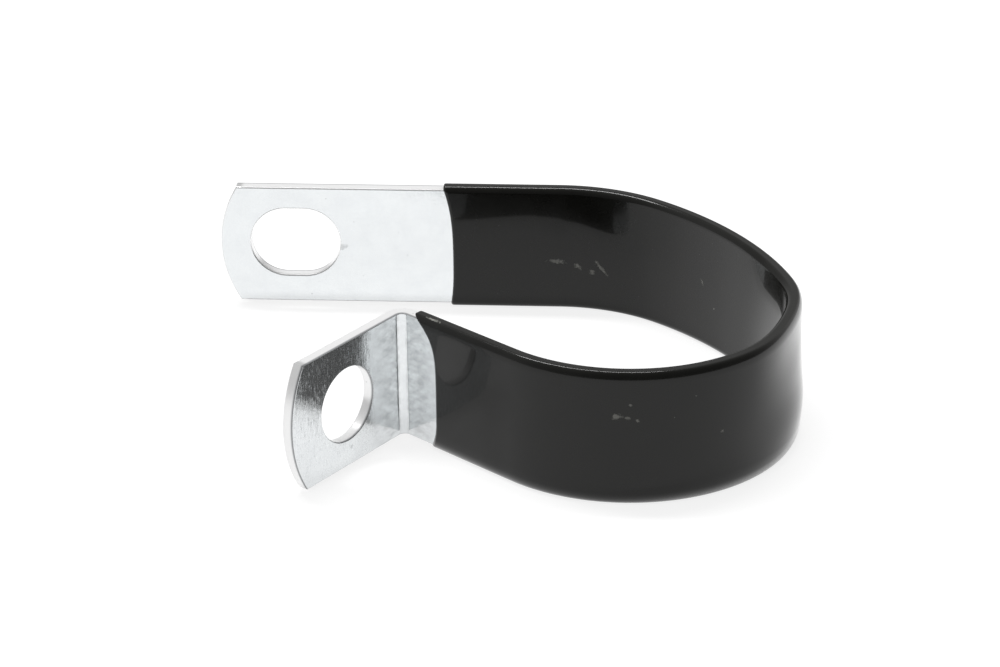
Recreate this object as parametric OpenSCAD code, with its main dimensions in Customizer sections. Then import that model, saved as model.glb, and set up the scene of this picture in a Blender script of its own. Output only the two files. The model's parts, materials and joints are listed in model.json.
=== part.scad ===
// P clip: a plated steel strip bent round a cable or hose and dipped in vinyl.
// The clip is modelled sprung open, as supplied, lying on one long edge of its band.
// Origin: axis of the main bend, at half the band's width. +Z runs along that axis.
// The tab lies along X, on the +Y side. Headings turn clockwise from the tab to the leg.

/* [Band] */
// Width of the steel band
band_w = 12.7; // [9:0.1:20]
// Thickness of the steel band
steel_t = 1.2; // [0.6:0.1:2]
// Radius of the shallow arc that trims both ends
end_r = 12; // [10.5:0.5:40]

/* [Vinyl coat] */
// Thickness of the coat on the broad faces
coat_t = 0.2; // [0.1:0.05:1.2]
// Thickness of the coat over the band's edges
coat_edge = 0.35; // [0.1:0.05:1.2]
// Rounding along the rims of the coat
rim_r = 0.45; // [0.1:0.05:0.8]

/* [Bends] */
// Diameter of the bundle that seats in the main bend
bundle_d = 30; // [16:0.5:60]
// Turn of the main bend, in degrees
loop_turn = 148.5; // [120:0.5:165]
// Radius of the flattened flank, on the steel's inner face
flank_r = 36; // [20:0.5:80]
// Turn of the flattened flank, in degrees
flank_turn = 34; // [15:0.5:45]
// Radius of the shoulder beside the tab, on the steel's inner face
shoulder_r = 16; // [8:0.5:30]
// Turn of the shoulder, in degrees
shoulder_turn = 37.5; // [20:0.5:45]

/* [Tab] */
// Length of the tab, from the middle of its trimmed end to the shoulder
tab_len = 34.8; // [27:0.1:60]
// Bare length of the tab, from the middle of its trimmed end to the coat
tab_bare = 23.9; // [16:0.1:25]
// Length of the slot, end to end
slot_len = 9.2; // [8:0.1:14]
// Width of the slot
slot_w = 7.4; // [4:0.1:7.8]
// Distance of the slot's middle from the middle of the trimmed end
slot_inset = 7.7; // [7:0.1:9]
// Height of the slot's middle above the middle of the band
slot_rise = 0.3; // [0:0.05:0.5]

/* [Leg and ear] */
// Length of the straight leg, from the main bend to the fold
leg_len = 13.15; // [7:0.05:30]
// Bare length of the leg, from the coat to the fold
leg_bare = 3.7; // [2.2:0.1:6]
// Radius inside the fold
fold_r = 0.6; // [0.3:0.1:2]
// Turn of the fold, in degrees
fold_turn = 96; // [70:1:110]
// Length of the ear, from the fold to the middle of its trimmed end
ear_len = 15.3; // [13:0.1:30]
// Diameter of the round hole
hole_d = 7.4; // [4:0.1:8.4]
// Distance of the hole's middle from the middle of the trimmed end
hole_inset = 7.85; // [6.5:0.05:8.5]

/* [Coat ends] */
// Height of each coat end's middle below the middle of the band
reach_drop = 1.6; // [0:0.1:3]
// How far the coat runs on along the tab's upper edge
tab_creep_top = 1; // [0:0.05:2]
// How far the coat runs on along the tab's lower edge
tab_creep_low = 0.35; // [0:0.05:2]
// How far the coat runs on along the leg's upper edge
leg_creep_top = 3; // [0:0.05:4]
// How far the coat runs on along the leg's lower edge
leg_creep_low = 0.9; // [0:0.05:2]

/* [Quality] */
// Facets on a full circle
$fn = 180; // [48:4:360]
// Steps in each quarter of a rim
rim_steps = 5; // [2:1:8]
// Steps along each coat end
end_steps = 24; // [8:2:40]

/* [Hidden] */

// Extra length on every cutting body
over = 1;
// Most of the coat's half thickness that a rim may round off
rim_share = 0.9;
// How sharply each coat end runs on towards the band's edges, as a power of the height
tab_creep_power = 3;
leg_creep_power = 5;

// Radii to the middle of the steel
loop_mid = bundle_d / 2 + coat_t + steel_t / 2;
flank_mid = flank_r + steel_t / 2;
shoulder_mid = shoulder_r + steel_t / 2;
fold_mid = fold_r + steel_t / 2;

// Headings where one stretch ends and the next begins, the tab's being 0
head_flank = -shoulder_turn;
head_loop = head_flank - flank_turn;
head_leg = head_loop - loop_turn;

// Unit vector square to a heading, on the outer side of the clip
function outward(heading) = [-sin(heading), cos(heading)];

// Neighbouring bends share a normal where they meet, so each centre follows from the last
loop_c = [0, 0];
flank_c = loop_c + (loop_mid - flank_mid) * outward(head_loop);
shoulder_c = flank_c + (flank_mid - shoulder_mid) * outward(head_flank);

// Where the tab and the leg leave the bends
tab_root = shoulder_c + shoulder_mid * outward(0);
leg_root = loop_c + loop_mid * outward(head_leg);

// Where the ear leaves the fold, seen from the leg's root
ear_root = [leg_len + fold_mid * sin(fold_turn), fold_mid * (1 - cos(fold_turn))];

// A number as it stands once it is cut to six decimals
function cut(v) = round(v * 1e6) / 1e6;

// Moves a stretch to a point and turns it to a heading. Both are done in a coarse and a fine
// step, so that no digit is lost and neighbouring stretches meet face to face.
module place(point, heading = 0) {
    coarse = [for (v = point) round(v * 100) / 100];
    fine_turn = heading - atan2(cut(sin(heading)), cut(cos(heading)));
    translate(coarse)
        translate(point - coarse)
            rotate(heading)
                rotate(fine_turn)
                    children();
}

// Cross-section of the steel: X is outward from its middle, Y is up
module steel_section() {
    square([steel_t, band_w], center = true);
}

// One rounded corner of the coat's cross-section, on the side that sx and sy give
function rim_corner(half_t, half_w, r, sx, sy, start) = [
    for (i = [0 : rim_steps])
        let (a = start + 90 * i / rim_steps)
            [sx * (half_t - r) + r * cos(a), sy * (half_w - r) + r * sin(a)]
];

// Cross-section of the dipped band, steel and coat together
module dipped_section() {
    half_t = steel_t / 2 + coat_t;
    half_w = band_w / 2 + coat_edge;
    r = min(rim_r, coat_t + coat_edge, rim_share * half_t);
    polygon(concat(
        rim_corner(half_t, half_w, r, 1, 1, 0),
        rim_corner(half_t, half_w, r, -1, 1, 90),
        rim_corner(half_t, half_w, r, -1, -1, 180),
        rim_corner(half_t, half_w, r, 1, -1, 270)
    ));
}

// A cross-section carried round a bend, anticlockwise from an angle about the bend's centre
module bend(centre, r_mid, start, turn) {
    place(centre)
        rotate_extrude(angle = turn, start = start)
            translate([r_mid, 0])
                children();
}

// A cross-section carried straight along +X
module straight(length) {
    rotate([90, 0, 90])
        linear_extrude(length)
            children();
}

// A cross-section carried round the loop: shoulder, flank and main bend
module loop_bends() {
    bend(shoulder_c, shoulder_mid, head_flank + 90, shoulder_turn)
        children();
    bend(flank_c, flank_mid, head_loop + 90, flank_turn)
        children();
    bend(loop_c, loop_mid, head_leg + 90, loop_turn)
        children();
}

// A bare end of the band along +X, its tip trimmed to an arc
module trimmed_end(length) {
    difference() {
        straight(length)
            steel_section();
        difference() {
            translate([length - end_r, -steel_t / 2 - over, -band_w / 2 - over])
                cube([end_r + over, steel_t + 2 * over, band_w + 2 * over]);
            translate([length - end_r, 0, 0])
                through_hole(end_r);
        }
    }
}

// A round hole's cutter, square through the band
module through_hole(r) {
    rotate([90, 0, 0])
        cylinder(r = r, h = steel_t + 4 * over, center = true);
}

// The tab, with its adjusting slot
module tab() {
    half_run = (slot_len - slot_w) / 2;
    difference() {
        trimmed_end(tab_len);
        translate([tab_len - slot_inset, 0, slot_rise]) {
            for (side = [-1, 1])
                translate([side * half_run, 0, 0])
                    through_hole(slot_w / 2);
            cube([2 * half_run, steel_t + 2 * over, slot_w], center = true);
        }
    }
}

// The ear, with its round bolt hole
module ear() {
    difference() {
        trimmed_end(ear_len);
        translate([ear_len - hole_inset, 0, 0])
            through_hole(hole_d / 2);
    }
}

// One strip of steel: tab, loop, leg, fold and ear
module strap() {
    color("#d5d8d9") {
        place(tab_root, 180)
            tab();
        loop_bends()
            steel_section();
        place(leg_root, head_leg) {
            straight(leg_len)
                steel_section();
            bend([leg_len, fold_mid], fold_mid, -90, fold_turn)
                steel_section();
            place(ear_root, fold_turn)
                ear();
        }
    }
}

// How far a coat end runs on at a height, more towards both edges of the band
function creep(height, top, low, power) =
    let (
        half_w = band_w / 2 + coat_edge,
        rise = height + reach_drop
    )
    rise > 0
        ? top * pow(rise / (half_w + reach_drop), power)
        : low * pow(-rise / (half_w - reach_drop), power);

// What is left of a straight sleeve beyond its bowed end
module beyond_end(top, low, power) {
    half_w = band_w / 2 + coat_edge;
    far = max(top, low) + 2 * over;
    bow = [
        for (i = [0 : end_steps])
            let (height = half_w * (2 * i / end_steps - 1))
                [creep(height, top, low, power), height]
    ];
    rotate([90, 0, 0])
        linear_extrude(steel_t + 2 * coat_t + 2 * over, center = true)
            polygon(concat(
                [[far, -half_w - over], [low, -half_w - over]],
                bow,
                [[top, half_w + over], [far, half_w + over]]
            ));
}

// A straight stretch of dipped band along +X, as far as the coat's bowed end
module dipped_end(length, top, low, power) {
    difference() {
        straight(length + max(top, low) + over)
            dipped_section();
        translate([length, 0, 0])
            beyond_end(top, low, power);
    }
}

// The steel inside the coat, and on past both of its ends
module steel_inside() {
    place(tab_root, 180)
        straight(tab_len - tab_bare + tab_creep_top + tab_creep_low + 2 * over)
            steel_section();
    loop_bends()
        steel_section();
    place(leg_root, head_leg)
        straight(leg_len - leg_bare + leg_creep_top + leg_creep_low + 2 * over)
            steel_section();
}

// The dipped vinyl sleeve, from the tab's root round the loop to just before the fold
module vinyl_coat() {
    color("#1c1c1b")
        difference() {
            union() {
                place(tab_root, 180)
                    dipped_end(tab_len - tab_bare, tab_creep_top, tab_creep_low, tab_creep_power);
                loop_bends()
                    dipped_section();
                place(leg_root, head_leg)
                    dipped_end(leg_len - leg_bare, leg_creep_top, leg_creep_low, leg_creep_power);
            }
            steel_inside();
        }
}

strap();
vinyl_coat();
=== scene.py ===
import json
import math

import bpy
import numpy as np
from mathutils import Matrix, Vector, geometry


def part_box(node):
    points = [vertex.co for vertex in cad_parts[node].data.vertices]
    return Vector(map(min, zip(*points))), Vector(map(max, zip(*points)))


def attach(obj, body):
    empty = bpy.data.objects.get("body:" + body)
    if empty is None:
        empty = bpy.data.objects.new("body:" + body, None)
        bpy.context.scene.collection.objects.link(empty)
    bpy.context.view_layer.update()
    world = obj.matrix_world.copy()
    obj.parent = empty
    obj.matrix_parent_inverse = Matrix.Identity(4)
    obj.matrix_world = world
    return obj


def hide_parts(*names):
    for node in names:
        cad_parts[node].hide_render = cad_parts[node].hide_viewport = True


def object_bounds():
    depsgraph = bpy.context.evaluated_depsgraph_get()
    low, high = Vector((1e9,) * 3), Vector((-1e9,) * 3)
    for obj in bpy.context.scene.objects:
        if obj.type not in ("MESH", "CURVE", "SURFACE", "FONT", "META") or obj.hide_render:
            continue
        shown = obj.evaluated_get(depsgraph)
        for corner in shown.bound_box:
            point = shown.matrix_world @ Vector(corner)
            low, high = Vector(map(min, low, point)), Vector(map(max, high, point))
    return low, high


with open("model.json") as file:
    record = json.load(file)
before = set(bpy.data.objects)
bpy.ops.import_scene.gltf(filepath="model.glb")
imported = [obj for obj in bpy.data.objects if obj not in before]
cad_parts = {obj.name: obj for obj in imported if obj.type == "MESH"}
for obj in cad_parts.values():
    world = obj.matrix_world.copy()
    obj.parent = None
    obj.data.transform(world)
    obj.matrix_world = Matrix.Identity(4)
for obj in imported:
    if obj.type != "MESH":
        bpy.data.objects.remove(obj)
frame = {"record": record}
cadLow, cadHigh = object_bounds()
mm = 0.001

# The band's sizes in mm and degrees, as in the construction and from the frame where it has them
strapLow, strapHigh = (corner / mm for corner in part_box("strap"))
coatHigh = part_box("vinyl_coat")[1] / mm
mounts = {mount["name"]: mount for mount in frame["record"]["mounts"]}
band = {
    "width": strapHigh.z - strapLow.z,
    "thickness": 1.2,
    "coat": coatHigh.y - strapHigh.y,
    "coatEdge": coatHigh.z - strapHigh.z,
    "bundleRadius": mounts["loop"]["dims"]["r_mm"],
    "tab": 34.8,
    "shoulderRadius": 16.0,
    "shoulderTurn": 37.5,
    "flankRadius": 36.0,
    "flankTurn": 34.0,
    "mainTurn": 148.5,
    "leg": 13.15,
    "foldRadius": 0.6,
    "foldTurn": 96.0,
    "ear": 15.3,
}
midSteel = band["thickness"] / 2
halfWidth = band["width"] / 2

# A bend of the band's middle line: its length, its radius, the way it turns and its steps
def arc(innerRadius, turn, way, stepAngle):
    radius = innerRadius + midSteel
    return radius * math.radians(turn), radius, way, math.ceil(turn / stepAngle)


# The stretches from the tab to the ear, each as (length, radius, way, steps)
stretches = [
    (band["tab"], 0.0, 0, 1),
    arc(band["shoulderRadius"], band["shoulderTurn"], -1, 1.5),
    arc(band["flankRadius"], band["flankTurn"], -1, 1.0),
    arc(band["bundleRadius"] + band["coat"], band["mainTurn"], -1, 1.5),
    (band["leg"], 0.0, 0, 1),
    arc(band["foldRadius"], band["foldTurn"], 1, 6.0),
    (band["ear"], 0.0, 0, 1),
]


# Where each stretch starts, as (distance along, x, y, heading, curve), and the whole length
def startsOfStretches():
    s, x, y, heading = 0.0, strapLow.x, strapHigh.y - midSteel, 0.0
    rows = []
    for length, radius, way, _ in stretches:
        curve = way / radius if radius else 0.0
        rows.append((s, x, y, heading, curve))
        if curve:
            turned = heading + curve * length
            x += (math.sin(turned) - math.sin(heading)) / curve
            y += (math.cos(heading) - math.cos(turned)) / curve
            heading = turned
        else:
            x += length * math.cos(heading)
            y += length * math.sin(heading)
        s += length
    return np.array(rows), s


starts, bandLength = startsOfStretches()
legStart, foldStart, earStart = starts[4:, 0]


# A smooth hump, 1 in the middle and 0 from one half width on
def bell(x):
    return np.where(np.abs(x) < 1, 0.5 + 0.5 * np.cos(math.pi * np.clip(x, -1, 1)), 0.0)


def easing(x):
    x = np.clip(x, 0, 1)
    return x * x * (3 - 2 * x)


# The loop's far end leans in a little towards its top, in mm
endLean = {"most": 0.35, "at": 77.0, "half": 8.0, "from": -2.0, "rise": 6.5}


def sway(s, height):
    above = easing((height - endLean["from"]) / endLean["rise"])
    return -endLean["most"] * bell((s - endLean["at"]) / endLean["half"]) * above


# Slopes of a field over the flat band, along and up
def slopes(field, s, height):
    step = 0.05
    return ((field(s + step, height) - field(s - step, height)) / (2 * step),
            (field(s, height + step) - field(s, height - step)) / (2 * step))


# Carries places on the flat band (along, height, outward) and their normals onto the bent path
def bendBand(flat, flatNormals):
    s = flat[:, 0]
    slopeAlong, slopeUp = slopes(sway, s, flat[:, 1])
    outwardOf = flat[:, 2] + sway(s, flat[:, 1])
    flatNormals = flatNormals.copy()
    flatNormals[:, 0] -= slopeAlong * flatNormals[:, 2]
    flatNormals[:, 1] -= slopeUp * flatNormals[:, 2]
    row = starts[np.clip(np.searchsorted(starts[:, 0], s, "right") - 1, 0, len(starts) - 1)]
    run, first, curve = s - row[:, 0], row[:, 3], row[:, 4]
    heading = first + curve * run
    isStraight = curve == 0
    safe = np.where(isStraight, 1.0, curve)
    x = row[:, 1] + np.where(isStraight, run * np.cos(first), (np.sin(heading) - np.sin(first)) / safe)
    y = row[:, 2] + np.where(isStraight, run * np.sin(first), (np.cos(first) - np.cos(heading)) / safe)
    along = np.stack([np.cos(heading), np.sin(heading), 0 * s], 1)
    outward = np.stack([-np.sin(heading), np.cos(heading), 0 * s], 1)
    places = np.stack([x, y, flat[:, 1]], 1) + outward * outwardOf[:, None]
    normals = along * flatNormals[:, 0:1] + outward * flatNormals[:, 2:3]
    normals[:, 2] += flatNormals[:, 1]
    return places * mm, normals / np.linalg.norm(normals, axis=1)[:, None]


# Collects faces on the flat band, each corner with its own normal, and makes the bent mesh
class FlatShell:
    def __init__(self):
        self.indexOf = {}
        self.flat = []
        self.faces = []
        self.cornerFlat = []
        self.cornerNormals = []

    def face(self, corners, normals):
        kept = [i for i, c in enumerate(corners) if self.key(c) != self.key(corners[i - 1])]
        if len(kept) < 3:
            return
        corners = [corners[i] for i in kept]
        normals = [normals[i] for i in kept]
        a, b, c = (np.array(corners[i])[[0, 2, 1]] for i in (0, 1, 2))
        facing = np.cross(b - a, c - b)
        wanted = np.sum(normals, 0)[[0, 2, 1]]
        if facing @ wanted < 0:
            corners.reverse()
            normals.reverse()
        ids = []
        for corner in corners:
            key = self.key(corner)
            if key not in self.indexOf:
                self.indexOf[key] = len(self.flat)
                self.flat.append(corner)
            ids.append(self.indexOf[key])
        self.faces.append(ids)
        self.cornerFlat.extend(corners)
        self.cornerNormals.extend(normals)

    def key(self, corner):
        return tuple(round(float(v), 4) for v in corner)

    # Quads between matching rows of (place, normal); closed rows join their last to their first
    def strip(self, rows, closed):
        for near, far in zip(rows[:-1], rows[1:]):
            count = len(near)
            for i in range(count if closed else count - 1):
                j = (i + 1) % count
                quad = (near[i], near[j], far[j], far[i])
                self.face([q[0] for q in quad], [q[1] for q in quad])

    def build(self, name):
        flat = np.array(self.flat, float)
        places, _ = bendBand(flat, np.tile((0.0, 0.0, 1.0), (len(flat), 1)))
        _, normals = bendBand(np.array(self.cornerFlat, float), np.array(self.cornerNormals, float))
        mesh = bpy.data.meshes.new(name)
        mesh.from_pydata(places.tolist(), [], self.faces)
        mesh.polygons.foreach_set("use_smooth", [True] * len(mesh.polygons))
        mesh.normals_split_custom_set(normals.tolist())
        onBand = mesh.attributes.new("onBand", "FLOAT_VECTOR", "POINT")
        onBand.data.foreach_set("vector", flat.astype(np.float32).ravel())
        mesh.update()
        piece = bpy.data.objects.new(name, mesh)
        bpy.context.scene.collection.objects.link(piece)
        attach(piece, "root")
        triangles = sum(len(f) - 2 for f in self.faces)
        print(name, "vertices", len(flat), "triangles", triangles)
        return piece


# Distances along at which the band has a row of points, ends and joins included
def stationsBetween(low, high):
    found = [low, high]
    for (start, _, _, _, _), (length, _, _, steps) in zip(starts, stretches):
        found += [start + length * i / steps for i in range(steps + 1)]
    found = sorted(s for s in found if low <= s <= high)
    return [s for i, s in enumerate(found) if i == 0 or s - found[i - 1] > 1e-4]


# The steel strip, with its pierced slot and hole and lightly rounded sheared edges
strapLook = {
    "endRadius": 12.0,
    "slotLength": 9.2,
    "slotWidth": 7.4,
    "slotInset": 7.7,
    "slotRise": 0.3,
    "holeRadius": mounts["ear_hole"]["dims"]["r_mm"],
    "holeInset": 7.85,
    # Rounding of the sheared edges on the outer side, and the die's rollover on the inner side
    "bevel": 0.1,
    "rollover": 0.18,
    "bevelSteps": 4,
    "endSteps": 40,
    "holeSteps": 96,
    # Length at each end that the pierced flat patch takes up
    "patch": 15.0,
    # Share of the fold's turn that its valley still shows
    "foldRound": 0.3,
    "touching": 1e-6,
}


# Rows across an edge of the strip, from the outer face round the edge to the inner face
def edgeProfile():
    steps = strapLook["bevelSteps"]
    rows = []
    for side, bevel in ((1, strapLook["bevel"]), (-1, strapLook["rollover"])):
        angles = [math.pi / 2 * i / steps for i in range(steps + 1)]
        for angle in angles if side == 1 else reversed(angles):
            inset = bevel * (1 - math.sin(angle))
            outward = side * (midSteel - bevel * (1 - math.cos(angle)))
            rows.append((inset, outward, math.sin(angle), side * math.cos(angle)))
    return rows


# The trimmed end's arc at an inset, as (along, height) and the way each point faces
def endArc(inset, atEar):
    radius = strapLook["endRadius"] - inset
    half = math.asin((halfWidth - inset) / radius)
    middle = bandLength - strapLook["endRadius"] if atEar else strapLook["endRadius"]
    way = 1 if atEar else -1
    found = []
    for i in range(strapLook["endSteps"] + 1):
        angle = half * (2 * i / strapLook["endSteps"] - 1)
        facing = (way * math.cos(angle), math.sin(angle))
        found.append(((middle + radius * facing[0], radius * facing[1]), facing))
    return found


# One long edge of the strip at an inset, from the tab's arc to the ear's arc
def longEdge(inset, side):
    first = endArc(inset, False)[-1][0][0]
    last = endArc(inset, True)[-1][0][0]
    inner = stationsBetween(strapLook["patch"], bandLength - strapLook["patch"])
    return [((s, side * (halfWidth - inset)), (0.0, side)) for s in [first, *inner, last]]


# Rims of the slot and of the hole at an inset, as the trimmed end's arc is given
def slotRim(inset):
    radius = strapLook["slotWidth"] / 2 + inset
    run = (strapLook["slotLength"] - strapLook["slotWidth"]) / 2
    found = []
    for side in (1, -1):
        for i in range(strapLook["holeSteps"] // 2 + 1):
            angle = math.pi * i / (strapLook["holeSteps"] // 2) - side * math.pi / 2
            facing = (-math.cos(angle), -math.sin(angle))
            s = strapLook["slotInset"] + side * run - radius * facing[0]
            found.append(((s, strapLook["slotRise"] - radius * facing[1]), facing))
    return found


def holeRim(inset):
    radius = strapLook["holeRadius"] + inset
    found = []
    for i in range(strapLook["holeSteps"]):
        angle = 2 * math.pi * i / strapLook["holeSteps"]
        facing = (-math.cos(angle), -math.sin(angle))
        s = bandLength - strapLook["holeInset"] - radius * facing[0]
        found.append(((s, -radius * facing[1]), facing))
    return found


# A flat end patch of a broad face, pierced by a rim
def pierced(shell, arcPoints, joint, rimPoints, outward, normal):
    outline = [p for p, _ in arcPoints] + [(joint, arcPoints[-1][0][1]), (joint, arcPoints[0][0][1])]
    touching = strapLook["touching"]
    rim = [rimPoints[0][0]]
    for (before, _), (point, _) in zip(rimPoints[:-1], rimPoints[1:]):
        if math.dist(point, before) > touching:
            rim.append(point)
    points = outline + rim
    edges = [(i, (i + 1) % len(outline)) for i in range(len(outline))]
    edges += [(len(outline) + i, len(outline) + (i + 1) % len(rim)) for i in range(len(rim))]
    found, _, triangles, _, _, _ = geometry.delaunay_2d_cdt(
        [Vector(p) for p in points], edges, [], 0, touching)
    rimFrom = len(outline)
    for triangle in triangles:
        if all(i >= rimFrom for i in triangle):
            continue
        corners = [(found[i].x, found[i].y, outward) for i in triangle]
        shell.face(corners, [normal] * 3)


# Normals of the outer face: those of the fold's valley turn most of the way to its middle's, so
# that it shows as a crisp strip, as if coined nearly flat
def coined(s, middle):
    if not foldStart < middle < earStart:
        return (0.0, 0.0, 1.0)
    off = math.radians(band["foldTurn"]) * ((s - foldStart) / (earStart - foldStart) - 0.5)
    off *= 1 - strapLook["foldRound"]
    return (math.sin(off), 0.0, math.cos(off))


def buildStrap():
    shell = FlatShell()
    profile = edgeProfile()

    def rowsOf(outline):
        rows = []
        for inset, outward, share, broad in profile:
            row = outline(inset)
            rows.append([((*p, outward), (f[0] * share, f[1] * share, broad)) for p, f in row])
        return rows

    for atEar in (False, True):
        shell.strip(rowsOf(lambda inset: endArc(inset, atEar)), False)
    for side in (1, -1):
        shell.strip(rowsOf(lambda inset: longEdge(inset, side)), False)
    shell.strip(rowsOf(slotRim), True)
    shell.strip(rowsOf(holeRim), True)

    patch = strapLook["patch"]
    for outward, bevel in ((midSteel, strapLook["bevel"]), (-midSteel, strapLook["rollover"])):
        normal = (0.0, 0.0, math.copysign(1.0, outward))
        pierced(shell, endArc(bevel, False), patch, slotRim(bevel), outward, normal)
        pierced(shell, endArc(bevel, True), bandLength - patch, holeRim(bevel), outward, normal)
        high = halfWidth - bevel
        stations = stationsBetween(patch, bandLength - patch)
        for near, far in zip(stations[:-1], stations[1:]):
            rows = []
            for s in (near, far):
                facing = coined(s, (near + far) / 2) if outward > 0 else normal
                rows.append([((s, h, outward), facing) for h in (-high, high)])
            shell.strip(rows, False)
    return shell.build("steelStrap")


strap = buildStrap()
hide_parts("strap")

# The dipped coat: a skin with rounded rims, fuller outside, and bowed ends that thin to a lip
coatLook = {
    "tabBare": 23.9,
    "legBare": 3.7,
    "reachDrop": 1.6,
    "tabCreep": (1.0, 0.35, 3),
    "legCreep": (3.0, 0.9, 5),
    "bowFades": 8.0,
    "outerRim": (1.15, 0.55),
    "innerRim": (0.7, 0.55),
    "rimSteps": 12,
    "faceSteps": 14,
    "lip": 0.35,
    "lipSteps": 6,
    "inSteel": 0.02,
    "stationGap": 0.5,
    "endStations": (0.5, 0.8, 1.2, 1.8, 2.5, 3.4, 4.4, 5.6, 6.8, 8.0),
    # Normals alone: how far the inner skin tips up towards its rim, as (along, degrees)
    "tips": [(23.9, 4.2), (27.0, 4.5), (31.0, 4.6), (36.0, 6.0), (41.0, 8.5), (46.0, 3.0),
             (52.0, 0.0), (58.0, 1.0), (63.0, 9.5), (70.0, 10.0), (76.0, 0.0)],
    "tipFrom": -2.5,
    # Normals alone: how far they lag behind the bends, as (along, degrees)
    "lags": [(23.9, 2.6), (27.0, 1.8), (34.8, 0.0), (41.2, 7.5), (50.0, 2.0), (56.0, 3.5), (60.0, 5.5),
             (65.0, 2.6), (75.0, 0.0),
             (100.0, 0.0), (106.0, 3.0), (110.5, 5.0), (113.0, 2.4), (118.0, 0.0)],
    # The run that gathered at the loop's far end as the dip drained, and the thin skin above it,
    # as (thickness, place, half size)
    "swells": [(0.22, (76.0, -3.0), (9.0, 3.4)), (-0.1, (77.0, 4.0), (9.0, 5.0))],
    # Normals alone: how far the outer skin turns under by its lower rim, as (along, degrees)
    "unders": [(62.0, 0.0), (72.0, 26.0), (90.0, 24.0), (100.0, 14.0), (115.0, 12.0)],
    "underFrom": -4.6,
    "underDepth": 2.0,
}


# One rounded corner of a section, from the broad face to the edge: (height, outward) and its normal
def roundedCorner(halfHigh, halfThick, rimDown, rimAcross):
    corner = []
    for i in range(coatLook["rimSteps"] + 1):
        angle = math.pi / 2 * i / coatLook["rimSteps"]
        high = halfHigh - rimDown * (1 - math.sin(angle))
        out = halfThick - rimAcross * (1 - math.cos(angle))
        normal = np.array((math.sin(angle) / rimDown, math.cos(angle) / rimAcross))
        corner.append(((high, out), normal / np.linalg.norm(normal)))
    return corner


# Ring of a rounded section, anticlockwise seen along the band, its rims as (depth, width) on each side
def sectionRing(halfHigh, halfThick, outerRim, innerRim):
    outside = roundedCorner(halfHigh, halfThick, *outerRim)
    inside = roundedCorner(halfHigh, halfThick, *innerRim)
    steps = coatLook["faceSteps"]
    down = [1 - 2 * i / steps for i in range(1, steps)]
    ring = list(outside)
    ring += [((high, -out), (n[0], -n[1])) for (high, out), n in reversed(inside)]
    ring += [(((halfHigh - innerRim[0]) * share, -halfThick), (0.0, -1.0)) for share in down]
    ring += [((-high, -out), (-n[0], -n[1])) for (high, out), n in inside]
    ring += [((-high, out), (-n[0], n[1])) for (high, out), n in reversed(outside)]
    ring += [(((halfHigh - outerRim[0]) * share, halfThick), (0.0, 1.0)) for share in reversed(down)]
    return ring


# How far a coat end runs on at a height, more towards both edges
def creep(height, top, low, power):
    rise = height + coatLook["reachDrop"]
    full = halfWidth + band["coatEdge"]
    reach = full + coatLook["reachDrop"] if rise > 0 else full - coatLook["reachDrop"]
    return (top if rise > 0 else low) * abs(rise / reach) ** power


# Value at a distance along, eased between the rows of a list
def easedAt(rows, s):
    if s <= rows[0][0]:
        return rows[0][1]
    for (near, first), (far, second) in zip(rows[:-1], rows[1:]):
        if s <= far:
            return first + (second - first) * float(easing((s - near) / (far - near)))
    return rows[-1][1]


# Extra thickness of the outer skin at places (along, height)
def swell(s, height):
    total = 0.0
    for thick, (atS, atHeight), (halfS, halfHeight) in coatLook["swells"]:
        total = total + thick * bell((s - atS) / halfS) * bell((height - atHeight) / halfHeight)
    return total


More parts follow.
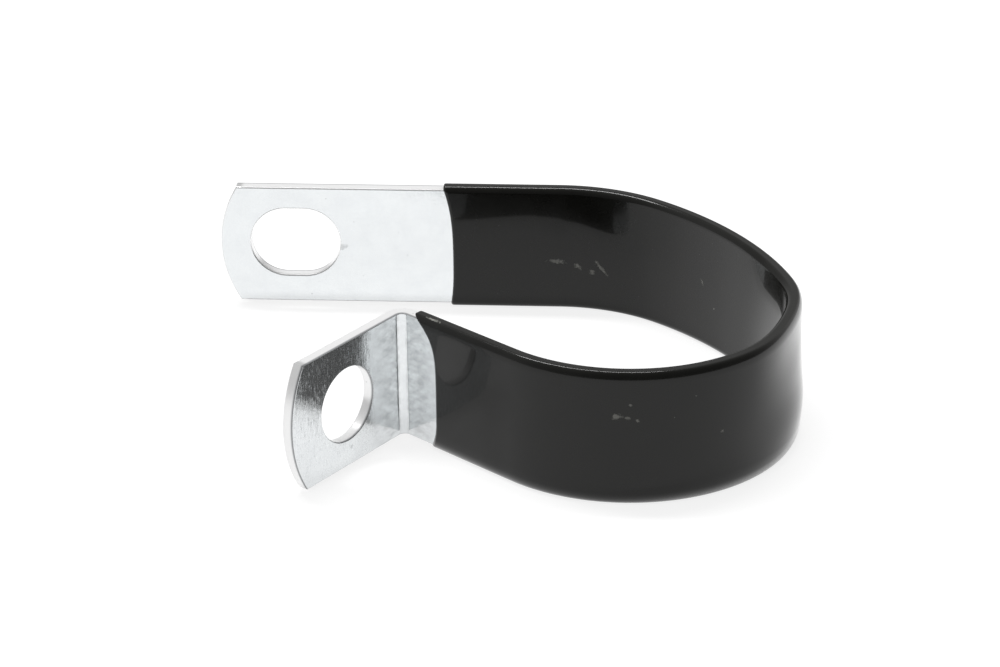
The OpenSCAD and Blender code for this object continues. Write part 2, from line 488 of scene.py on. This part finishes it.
def buildCoat():
    shell = FlatShell()
    outer = sectionRing(halfWidth + band["coatEdge"], midSteel + band["coat"],
                        coatLook["outerRim"], coatLook["innerRim"])
    sink = coatLook["inSteel"]
    bevel, rollover = strapLook["bevel"], strapLook["rollover"]
    inner = sectionRing(halfWidth - sink, midSteel - sink, (bevel, bevel), (rollover, rollover))
    first = coatLook["tabBare"]
    last = legStart + band["leg"] - coatLook["legBare"]

    def bow(s, height):
        fromTab = 1 - float(easing((s - first) / coatLook["bowFades"]))
        fromLeg = 1 - float(easing((last - s) / coatLook["bowFades"]))
        return (fromLeg * creep(height, *coatLook["legCreep"])
                - fromTab * creep(height, *coatLook["tabCreep"]))

    # A ring at a distance along, with the coat at a share of its thickness and its skin turned endways
    def ring(s, share, endways):
        rows = []
        tip = math.tan(math.radians(easedAt(coatLook["tips"], s)))
        under = math.tan(math.radians(easedAt(coatLook["unders"], s)))
        lag = math.radians(easedAt(coatLook["lags"], s))
        side = math.sqrt(1 - endways * endways)
        for ((h, n), (nh, nn)), ((ih, inn), _) in zip(outer, inner):
            height, out = ih + (h - ih) * share, inn + (n - inn) * share
            facing = max(nn, 0.0)
            slopeAlong, slopeUp = (float(v) * facing for v in slopes(swell, s, height))
            out += float(swell(s, height)) * facing * share
            rise = (height - coatLook["tipFrom"]) / (halfWidth - coatLook["tipFrom"])
            upTip = tip * float(easing(rise))
            turned = under * float(easing((coatLook["underFrom"] - height) / coatLook["underDepth"]))
            nh -= nn * upTip if n < 0 else slopeUp + nn * turned
            along = endways - nn * math.sin(lag) - slopeAlong
            rows.append(((s + bow(s, height), height, out), (along, nh * side, nn * side)))
        return rows

    lip, steps = coatLook["lip"], coatLook["lipSteps"]
    angles = [math.pi / 2 * i / steps for i in range(steps + 1)]
    rings = [ring(first + lip * (1 - math.cos(a)), math.sin(a), -math.cos(a)) for a in angles]
    near = [first + d for d in coatLook["endStations"]]
    far = [last - d for d in reversed(coatLook["endStations"])]
    gap = coatLook["stationGap"]
    middle = stationsBetween(near[-1] + gap, far[0] - gap)
    rings += [ring(s, 1.0, 0.0) for s in near + middle + far]
    rings += [ring(last - lip * (1 - math.cos(a)), math.sin(a), math.cos(a)) for a in reversed(angles)]
    shell.strip(rings, True)

    skin = []
    for s in [first, *near, *middle, *far, last]:
        skin.append([((s + bow(s, h), h, n), (0.0, -nh, -nn)) for (h, n), (nh, nn) in inner])
    shell.strip(skin, True)
    return shell.build("vinylCoat")


coat = buildCoat()
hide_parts("vinyl_coat")


# Adds a node, with its settings and its inputs given by name or number as values or sockets
def addNode(tree, kind, inputs=None, **settings):
    made = tree.nodes.new(kind)
    for name, value in settings.items():
        setattr(made, name, value)
    for name, value in (inputs or {}).items():
        if isinstance(value, bpy.types.NodeSocket):
            tree.links.new(value, made.inputs[name])
        else:
            made.inputs[name].default_value = value
    return made


def calc(tree, operation, *values):
    return addNode(tree, "ShaderNodeMath", dict(enumerate(values)), operation=operation).outputs[0]


def vectorCalc(tree, operation, values, output="Vector"):
    made = addNode(tree, "ShaderNodeVectorMath", dict(enumerate(values)), operation=operation)
    return made.outputs[output]


# Adds up values, each times its own share
def blend(tree, *terms):
    total = None
    for value, share in terms:
        part = calc(tree, "MULTIPLY", value, share)
        total = part if total is None else calc(tree, "ADD", total, part)
    return total


def remap(tree, value, fromLow, fromHigh, toLow, toHigh):
    inputs = {0: value, 1: fromLow, 2: fromHigh, 3: toLow, 4: toHigh}
    return addNode(tree, "ShaderNodeMapRange", inputs).outputs[0]


def mixColors(tree, share, first, second):
    inputs = {0: share, 6: first, 7: second}
    return addNode(tree, "ShaderNodeMix", inputs, data_type="RGBA").outputs[2]


def newGroup(name, inputs, outputs):
    tree = bpy.data.node_groups.new(name, "ShaderNodeTree")
    for label, kind in inputs:
        tree.interface.new_socket(name=label, in_out="INPUT", socket_type=kind)
    for label, kind in outputs:
        tree.interface.new_socket(name=label, in_out="OUTPUT", socket_type=kind)
    return tree, tree.nodes.new("NodeGroupInput").outputs, tree.nodes.new("NodeGroupOutput").inputs


number, vector = "NodeSocketFloat", "NodeSocketVector"


# How the patterns' noise is cut, and how their specks and marks fade out
patterns = {
    "blotchReach": (0.32, 0.68),
    "streakReach": (0.35, 0.65),
    "streakDetail": 3.0,
    "leastSpeck": 0.4,
    "speckFade": (0.6, 1.0),
    "ragScale": 4.0,
    "ragDetail": 4.0,
    "ragReach": (0.3, 0.7),
    "ragDepth": (-0.4, 0.5),
    "markFade": (0.45, 1.2),
}


# Soft blotches, from 0 to 1
def blotchGroup():
    inputs = [("Place", vector), ("Scale", number), ("Detail", number)]
    tree, given, result = newGroup("blotches", inputs, [("Value", number)])
    noise = addNode(tree, "ShaderNodeTexNoise",
                    {"Vector": given["Place"], "Scale": given["Scale"], "Detail": given["Detail"]})
    level = remap(tree, noise.outputs["Fac"], *patterns["blotchReach"], 0.0, 1.0)
    tree.links.new(level, result["Value"])
    return tree


# Fine lines from 0 to 1, drawn out along or across the band by stretching where they are read
def streakGroup():
    inputs = [("Place", vector), ("Stretch", vector)]
    tree, given, result = newGroup("streaks", inputs, [("Value", number)])
    place = vectorCalc(tree, "MULTIPLY", (given["Place"], given["Stretch"]))
    noise = addNode(tree, "ShaderNodeTexNoise",
                    {"Vector": place, "Scale": 1.0, "Detail": patterns["streakDetail"]})
    level = remap(tree, noise.outputs["Fac"], *patterns["streakReach"], 0.0, 1.0)
    tree.links.new(level, result["Value"])
    return tree


# Small specks of dust or pits, in a share of the cells of a pattern
def speckGroup():
    inputs = [("Place", vector), ("Scale", number), ("Size", number), ("Share", number)]
    tree, given, result = newGroup("specks", inputs, [("Mask", number)])
    cells = addNode(tree, "ShaderNodeTexVoronoi", {"Vector": given["Place"], "Scale": given["Scale"]})
    spread = addNode(tree, "ShaderNodeSeparateColor", {0: cells.outputs["Color"]}).outputs
    chosen = calc(tree, "LESS_THAN", spread[0], given["Share"])
    share = remap(tree, spread[1], 0.0, 1.0, patterns["leastSpeck"], 1.0)
    size = calc(tree, "MULTIPLY", given["Size"], share)
    away = calc(tree, "DIVIDE", cells.outputs["Distance"], size)
    inside = remap(tree, away, *patterns["speckFade"], 1.0, 0.0)
    tree.links.new(calc(tree, "MULTIPLY", chosen, inside), result["Mask"])
    return tree


# One ragged mark at a place on one broad face: Middle is (along, height, outward)
def markGroup():
    inputs = [("Place", vector), ("Middle", vector), ("Turn", number), ("Size", vector)]
    tree, given, result = newGroup("mark", inputs, [("Mask", number)])
    ragged = addNode(tree, "ShaderNodeTexNoise",
                     {"Vector": given["Place"], "Scale": patterns["ragScale"],
                      "Detail": patterns["ragDetail"]})
    away = vectorCalc(tree, "SUBTRACT", (given["Place"], given["Middle"]))
    turned = addNode(tree, "ShaderNodeVectorRotate", {"Vector": away, "Angle": given["Turn"]},
                     rotation_type="Z_AXIS").outputs[0]
    scaled = vectorCalc(tree, "DIVIDE", (turned, given["Size"]))
    distance = vectorCalc(tree, "LENGTH", (scaled,), "Value")
    uneven = remap(tree, ragged.outputs["Fac"], *patterns["ragReach"], *patterns["ragDepth"])
    rough = calc(tree, "ADD", distance, uneven)
    tree.links.new(remap(tree, rough, *patterns["markFade"], 1.0, 0.0), result["Mask"])
    return tree


blotches, streaks, specks, mark = blotchGroup(), streakGroup(), speckGroup(), markGroup()


def fillGroup(tree, group, inputs):
    return addNode(tree, "ShaderNodeGroup", inputs, node_tree=group).outputs[0]


def marksOn(tree, place, marks):
    total = None
    for middle, turn, size in marks:
        inputs = {"Place": place, "Middle": middle, "Turn": math.radians(turn), "Size": size}
        mask = fillGroup(tree, mark, inputs)
        total = mask if total is None else calc(tree, "MAXIMUM", total, mask)
    return total


def newMaterial(name, piece):
    material = bpy.data.materials.new(name)
    material.use_nodes = True
    piece.data.materials.append(material)
    tree = material.node_tree
    place = addNode(tree, "ShaderNodeAttribute", attribute_name="onBand").outputs["Vector"]
    return tree, tree.nodes["Principled BSDF"].inputs, place


# Bright zinc plate: cool grey, faintly mottled, coarser by the fold, with paler sheared edges and a
# painted highlight along the fold's valley
zincLook = {
    "pale": (0.915, 0.94, 0.95, 1),
    "deep": (0.86, 0.885, 0.90, 1),
    "worked": (0.69, 0.71, 0.72, 1),
    "burr": (0.20, 0.21, 0.22, 1),
    "burrShare": 0.85,
    "sheared": (0.98, 0.98, 0.98, 1),
    "stain": (0.30, 0.31, 0.32, 1),
    "stainShare": 0.4,
    "metallic": 0.8,
    "shearedMetallic": (0.08, 0.7),
    "roughness": (0.08, 0.12),
    "haze": 0.30,
    "hazeFrom": (2.0, 5.0),
    "hazeShare": 0.1,
    "shearedRoughness": 0.3,
    "blotchScale": 0.55,
    "grainScale": 4.0,
    "workedStretch": (0.9, 1.7, 1.0),
    "workedReach": (2.5, 5.5),
    # Painted highlight: the half width of the fold's valley that is kept pale, and the share of worked
    # tone left there
    "valleyHighlightHalf": (0.5, 0.8),
    "valleyHighlightShare": 0.2,
    "acrossLines": (9.0, 1.1, 1.0),
    "alongLines": (0.25, 7.0, 1.0),
    "mottleDetail": 3.0,
    "grainDetail": 2.0,
    # Depths under the broad faces at which the sheared edge and its burr fade in and out
    "edgeFade": (0.03, 0.005),
    "burrFade": (0.28, 0.1),
    "burrTurn": (-0.2, 0.2),
    "burrInside": 0.12,
    # How far in from the trimmed ends, and how far off the middle, an edge counts as upright
    "endReach": (2.6, 2.2),
    "rimReach": (2.2, 3.4),
    # Shares of mottle, grain and the lines across and along in each property
    "toneShares": (0.6, 0.4),
    "roughShares": (0.5, 0.5),
    "hazeShares": (0.65, 0.35),
    "hazePower": 2.0,
    "bumpShares": (0.55, 0.2, 0.5, 1.7, -1.0),
    "bumpHeight": 0.0028,
    "speckScale": 1.1,
    "speckSize": 0.12,
    "speckShare": 0.2,
    "marks": [
        ((12.6, -0.2, -0.6), -30, (0.5, 0.32, 0.3)),
        ((130.6, -4.6, 0.6), 20, (0.3, 0.2, 0.3)),
    ],
}


def buildZinc():
    look = zincLook
    tree, shader, place = newMaterial("zincPlate", strap)
    mottle = fillGroup(tree, blotches, {"Place": place, "Scale": look["blotchScale"],
                                        "Detail": look["mottleDetail"]})
    grain = fillGroup(tree, blotches, {"Place": place, "Scale": look["grainScale"],
                                       "Detail": look["grainDetail"]})
    across = fillGroup(tree, streaks, {"Place": place, "Stretch": look["acrossLines"]})
    along = fillGroup(tree, streaks, {"Place": place, "Stretch": look["alongLines"]})
    worked = fillGroup(tree, streaks, {"Place": place, "Stretch": look["workedStretch"]})
    dots = fillGroup(tree, specks, {"Place": place, "Scale": look["speckScale"],
                                    "Size": look["speckSize"], "Share": look["speckShare"]})
    stains = calc(tree, "MAXIMUM", dots, marksOn(tree, place, look["marks"]))

    # Masks: the sheared edges, the burr along them, and the metal worked by the fold, which is mostly
    # left out of the fold's valley as a painted highlight
    onBand = addNode(tree, "ShaderNodeSeparateXYZ", {0: place}).outputs
    depth = calc(tree, "ABSOLUTE", onBand[2])
    edge = remap(tree, depth, *(midSteel - under for under in look["edgeFade"]), 1.0, 0.0)
    burr = remap(tree, depth, *(midSteel - under for under in look["burrFade"]), 0.0, 1.0)
    burr = calc(tree, "MULTIPLY", burr, edge)
    burrSide = remap(tree, onBand[2], *look["burrTurn"], look["burrInside"], 1.0)
    burr = calc(tree, "MULTIPLY", burr, burrSide)
    fromFold = calc(tree, "ABSOLUTE", calc(tree, "SUBTRACT", onBand[0], (foldStart + earStart) / 2))
    byFold = calc(tree, "MULTIPLY", remap(tree, fromFold, *look["workedReach"], 1.0, 0.0), worked)
    # Painted highlight: the worked darkening is mostly left out of the fold's valley, so the valley
    # stays pale like a line of light
    strip = remap(tree, fromFold, *look["valleyHighlightHalf"], look["valleyHighlightShare"], 1.0)
    byFold = calc(tree, "MULTIPLY", byFold, strip)

    tone = blend(tree, *zip((mottle, grain), look["toneShares"]))
    color = mixColors(tree, tone, look["pale"], look["deep"])
    color = mixColors(tree, byFold, color, look["worked"])
    color = mixColors(tree, edge, color, look["sheared"])
    color = mixColors(tree, calc(tree, "MULTIPLY", burr, look["burrShare"]), color, look["burr"])
    color = mixColors(tree, calc(tree, "MULTIPLY", stains, look["stainShare"]), color, look["stain"])

    # The ear is a little hazier than the tab
    uneven = blend(tree, *zip((mottle, across), look["roughShares"]))
    roughness = remap(tree, uneven, 0.0, 1.0, *look["roughness"])
    hazy = blend(tree, *zip((across, grain), look["hazeShares"]))
    hazy = calc(tree, "POWER", hazy, look["hazePower"])
    nearest, full = (earStart + reach for reach in look["hazeFrom"])
    onEar = remap(tree, onBand[0], nearest, full, look["hazeShare"], 1.0)
    hazy = calc(tree, "MULTIPLY", hazy, onEar)
    roughness = calc(tree, "ADD", roughness, calc(tree, "MULTIPLY", hazy, look["haze"]))
    shearedRough = calc(tree, "MULTIPLY", edge, look["shearedRoughness"])
    roughness = calc(tree, "MAXIMUM", roughness, shearedRough)

    height = blend(tree, *zip((across, along, grain, byFold, stains), look["bumpShares"]))
    bump = addNode(tree, "ShaderNodeBump",
                   {"Strength": 1.0, "Distance": look["bumpHeight"] * mm, "Height": height})

    # Edges that stand upright mirror more than those along the band
    fromMiddle = calc(tree, "ABSOLUTE", calc(tree, "SUBTRACT", onBand[0], bandLength / 2))
    atEnds = remap(tree, fromMiddle, *(bandLength / 2 - reach for reach in look["endReach"]), 0.0, 1.0)
    offMiddle = calc(tree, "ABSOLUTE", onBand[1])
    upright = calc(tree, "MAXIMUM", atEnds, remap(tree, offMiddle, *look["rimReach"], 1.0, 0.0))
    shearedMetal = remap(tree, upright, 0.0, 1.0, *look["shearedMetallic"])
    metallic = remap(tree, edge, 0.0, 1.0, look["metallic"], shearedMetal)
    tree.links.new(color, shader["Base Color"])
    tree.links.new(metallic, shader["Metallic"])
    tree.links.new(roughness, shader["Roughness"])
    tree.links.new(bump.outputs[0], shader["Normal"])


# Glossy black dipped vinyl: near-black, faintly uneven, with pale scuffs, a little dust and one
# painted highlight, a pale dash on the top rim near the fold
vinylLook = {
    "black": (0.0075, 0.0075, 0.0060, 1),
    "softer": (0.0105, 0.0105, 0.0088, 1),
    # Colour of the pale scuffs and dust, and also of the painted highlight dash on the rim
    "scuffAndGlint": (0.42, 0.42, 0.39, 1),
    "roughness": (0.17, 0.23),
    "scuffRoughness": 0.45,
    "index": 1.254,
    "skinRoughness": 0.05,
    "toneScale": 0.3,
    "toneDetail": 3.0,
    "waveScale": 0.22,
    "waveDetail": 1.0,
    "waveHeight": 0.006,
    "speckScale": 0.55,
    "speckSize": 0.07,
    "speckShare": 0.12,
    "scuffAndGlintStrength": 0.8,
    "speckStrength": 0.7,
    "marks": [
        ((34.6, -1.35, -0.8), 4, (0.85, 0.22, 0.4)),
        ((36.8, -1.8, -0.8), 30, (0.45, 0.25, 0.4)),
        ((38.4, -2.35, -0.8), 0, (0.35, 0.3, 0.4)),
        ((39.4, -1.75, -0.8), 45, (0.95, 0.2, 0.4)),
        ((52.7, 0.2, -0.8), 60, (0.4, 0.12, 0.4)),
        ((97.9, 2.4, 0.8), 0, (0.45, 0.28, 0.4)),
        ((96.9, 2.3, 0.8), 0, (0.25, 0.15, 0.4)),
        ((96.1, 2.0, 0.8), -20, (0.18, 0.14, 0.4)),
        ((96.7, 3.6, 0.8), 0, (0.14, 0.14, 0.4)),
        ((88.3, -0.2, 0.8), 0, (0.14, 0.14, 0.4)),
        # Not a scuff: a painted highlight, a thin pale dash along the top rim near the fold
        ((118.2, 6.7, 0.4), 0, (0.8, 0.05, 0.3)),
    ],
}


def buildVinyl():
    look = vinylLook
    tree, shader, place = newMaterial("blackVinyl", coat)
    tone = fillGroup(tree, blotches, {"Place": place, "Scale": look["toneScale"],
                                      "Detail": look["toneDetail"]})
    wave = fillGroup(tree, blotches, {"Place": place, "Scale": look["waveScale"],
                                      "Detail": look["waveDetail"]})
    dots = fillGroup(tree, specks, {"Place": place, "Scale": look["speckScale"],
                                    "Size": look["speckSize"], "Share": look["speckShare"]})
    # All marks are scuffs except the last, which is a painted highlight
    scuffsAndGlint = marksOn(tree, place, look["marks"])
    wornAndGlint = calc(tree, "MAXIMUM", calc(tree, "MULTIPLY", scuffsAndGlint, look["scuffAndGlintStrength"]),
                calc(tree, "MULTIPLY", dots, look["speckStrength"]))
    color = mixColors(tree, tone, look["black"], look["softer"])
    color = mixColors(tree, wornAndGlint, color, look["scuffAndGlint"])
    roughness = remap(tree, tone, 0.0, 1.0, *look["roughness"])
    wornRough = calc(tree, "MULTIPLY", wornAndGlint, look["scuffRoughness"])
    roughness = calc(tree, "MAXIMUM", roughness, wornRough)
    bump = addNode(tree, "ShaderNodeBump",
                   {"Strength": 1.0, "Distance": look["waveHeight"] * mm, "Height": wave})
    tree.links.new(color, shader["Base Color"])
    tree.links.new(roughness, shader["Roughness"])
    tree.links.new(bump.outputs[0], shader["Normal"])
    tree.links.new(calc(tree, "SUBTRACT", 1.0, scuffsAndGlint), shader["Coat Weight"])
    shader["IOR"].default_value = look["index"]
    shader["Coat IOR"].default_value = look["index"]
    shader["Coat Roughness"].default_value = look["skinRoughness"]


buildZinc()
buildVinyl()
print("materials made")

# White floor under the clip, one long lamp above, and surroundings that change from side to side
studio = {
    "floorSize": 3.0,
    "floorDrop": 0.02,
    "floorColor": (0.31, 0.31, 0.31, 1),
    "floorSeen": 0.82,
    "floorMirrored": 0.85,
    "behind": {"way": (0.35, 0.94, 0.0), "from": 0.004, "to": 0.016, "more": 0.08},
    "inside": {"at": (0.003, -0.004), "from": 0.005, "to": 0.014, "less": 0.35},
    "lampPlace": (-0.22, 0.22, 1.1),
    "lampSize": (0.8, 0.13),
    "lampPower": 8.2,
    "whiteView": 1.0,
    # Brightness of the surroundings, as (share of the way from one side to the other, level)
    "around": [(0.0, 0.16), (0.2, 0.2), (0.42, 0.38), (0.7, 0.65), (0.88, 0.34), (1.0, 0.34)],
    "aroundWay": (-0.45, 0.89, 0.0),
}


def buildStudio():
    half = studio["floorSize"] / 2
    z = cadLow.z - studio["floorDrop"] * mm
    corners = [(-half, -half, z), (half, -half, z), (half, half, z), (-half, half, z)]
    mesh = bpy.data.meshes.new("floor")
    mesh.from_pydata(corners, [], [(0, 1, 2, 3)])
    floor = bpy.data.objects.new("floor", mesh)
    bpy.context.scene.collection.objects.link(floor)

    material = bpy.data.materials.new("whiteFloor")
    material.use_nodes = True
    mesh.materials.append(material)
    tree = material.node_tree
    shader = tree.nodes["Principled BSDF"].inputs
    shader["Base Color"].default_value = studio["floorColor"]
    shader["Roughness"].default_value = 1.0
    shader["Specular IOR Level"].default_value = 0.0
    path = addNode(tree, "ShaderNodeLightPath").outputs
    mirrored = calc(tree, "MAXIMUM", path["Is Glossy Ray"], path["Is Transmission Ray"])
    # The floor that is mirrored is a little brighter behind the clip
    behind = studio["behind"]
    onFloor = addNode(tree, "ShaderNodeTexCoord").outputs["Object"]
    towards = vectorCalc(tree, "DOT_PRODUCT", (onFloor, behind["way"]), "Value")
    more = remap(tree, towards, behind["from"], behind["to"], 0.0, behind["more"])
    # The floor that is mirrored is darker inside the loop, as in the shade of its walls
    inside = studio["inside"]
    apart = vectorCalc(tree, "DISTANCE", (onFloor, (*inside["at"], z)), "Value")
    less = remap(tree, apart, inside["from"], inside["to"], inside["less"], 0.0)
    level = calc(tree, "SUBTRACT", calc(tree, "ADD", more, studio["floorMirrored"]), less)
    lift = calc(tree, "MAXIMUM", calc(tree, "MULTIPLY", path["Is Camera Ray"], studio["floorSeen"]),
                calc(tree, "MULTIPLY", mirrored, level))
    shader["Emission Color"].default_value = (1, 1, 1, 1)
    tree.links.new(lift, shader["Emission Strength"])

    world = bpy.data.worlds.new("studio")
    bpy.context.scene.world = world
    world.use_nodes = True
    tree = world.node_tree
    tree.nodes.clear()
    way = addNode(tree, "ShaderNodeTexCoord").outputs["Generated"]
    back = vectorCalc(tree, "DOT_PRODUCT", (way, studio["aroundWay"]), "Value")
    back = remap(tree, back, -1.0, 1.0, 0.0, 1.0)
    ramp = addNode(tree, "ShaderNodeValToRGB", {0: back})
    stops = ramp.color_ramp.elements
    while len(stops) < len(studio["around"]):
        stops.new(0.5)
    for stop, (place, level) in zip(stops, studio["around"]):
        stop.position = place
        stop.color = (level, level, level, 1)
    surroundings = addNode(tree, "ShaderNodeBackground", {"Color": ramp.outputs[0]})
    white = addNode(tree, "ShaderNodeBackground",
                    {"Color": (1, 1, 1, 1), "Strength": studio["whiteView"]})
    path = addNode(tree, "ShaderNodeLightPath").outputs
    both = addNode(tree, "ShaderNodeMixShader",
                   {0: path["Is Camera Ray"], 1: surroundings.outputs[0], 2: white.outputs[0]})
    addNode(tree, "ShaderNodeOutputWorld", {"Surface": both.outputs[0]})

    lamp = bpy.data.lights.new("softLamp", "AREA")
    lamp.shape = "RECTANGLE"
    lamp.size, lamp.size_y = studio["lampSize"]
    lamp.energy = studio["lampPower"]
    holder = bpy.data.objects.new("softLamp", lamp)
    holder.location = studio["lampPlace"]
    holder.rotation_mode = "QUATERNION"
    toLamp = Vector(studio["lampPlace"]).normalized()
    acrossLamp = toLamp.cross(Vector((1, 0, 0))).normalized()
    facing = Matrix((acrossLamp.cross(toLamp), acrossLamp, toLamp)).transposed()
    holder.rotation_quaternion = facing.to_quaternion()
    bpy.context.scene.collection.objects.link(holder)


buildStudio()
bpy.context.scene.view_settings.view_transform = "Standard"
print("floor, surroundings and lamp made")

# A long lens in front of the clip and above it, looking down: mm and degrees, clip in metres
cameraLook = {
    "lens": 115.2,
    "sensor": 36.0,
    "place": (5.125, -273.001, 135.066),
    "heading": 3.6126,
    "down": 25.8564,
    "roll": -0.6231,
    "clip": (0.01, 10.0),
}


def buildCamera():
    data = bpy.data.cameras.new("view")
    data.lens = cameraLook["lens"]
    data.sensor_fit = "HORIZONTAL"
    data.sensor_width = cameraLook["sensor"]
    data.clip_start, data.clip_end = cameraLook["clip"]
    camera = bpy.data.objects.new("view", data)
    turn = (Matrix.Rotation(math.radians(cameraLook["heading"]), 4, "Z")
            @ Matrix.Rotation(math.radians(90 - cameraLook["down"]), 4, "X")
            @ Matrix.Rotation(math.radians(cameraLook["roll"]), 4, "Z"))
    camera.matrix_world = Matrix.Translation(Vector(cameraLook["place"]) * mm) @ turn
    bpy.context.scene.collection.objects.link(camera)
    bpy.context.scene.camera = camera


buildCamera()
print("camera made")
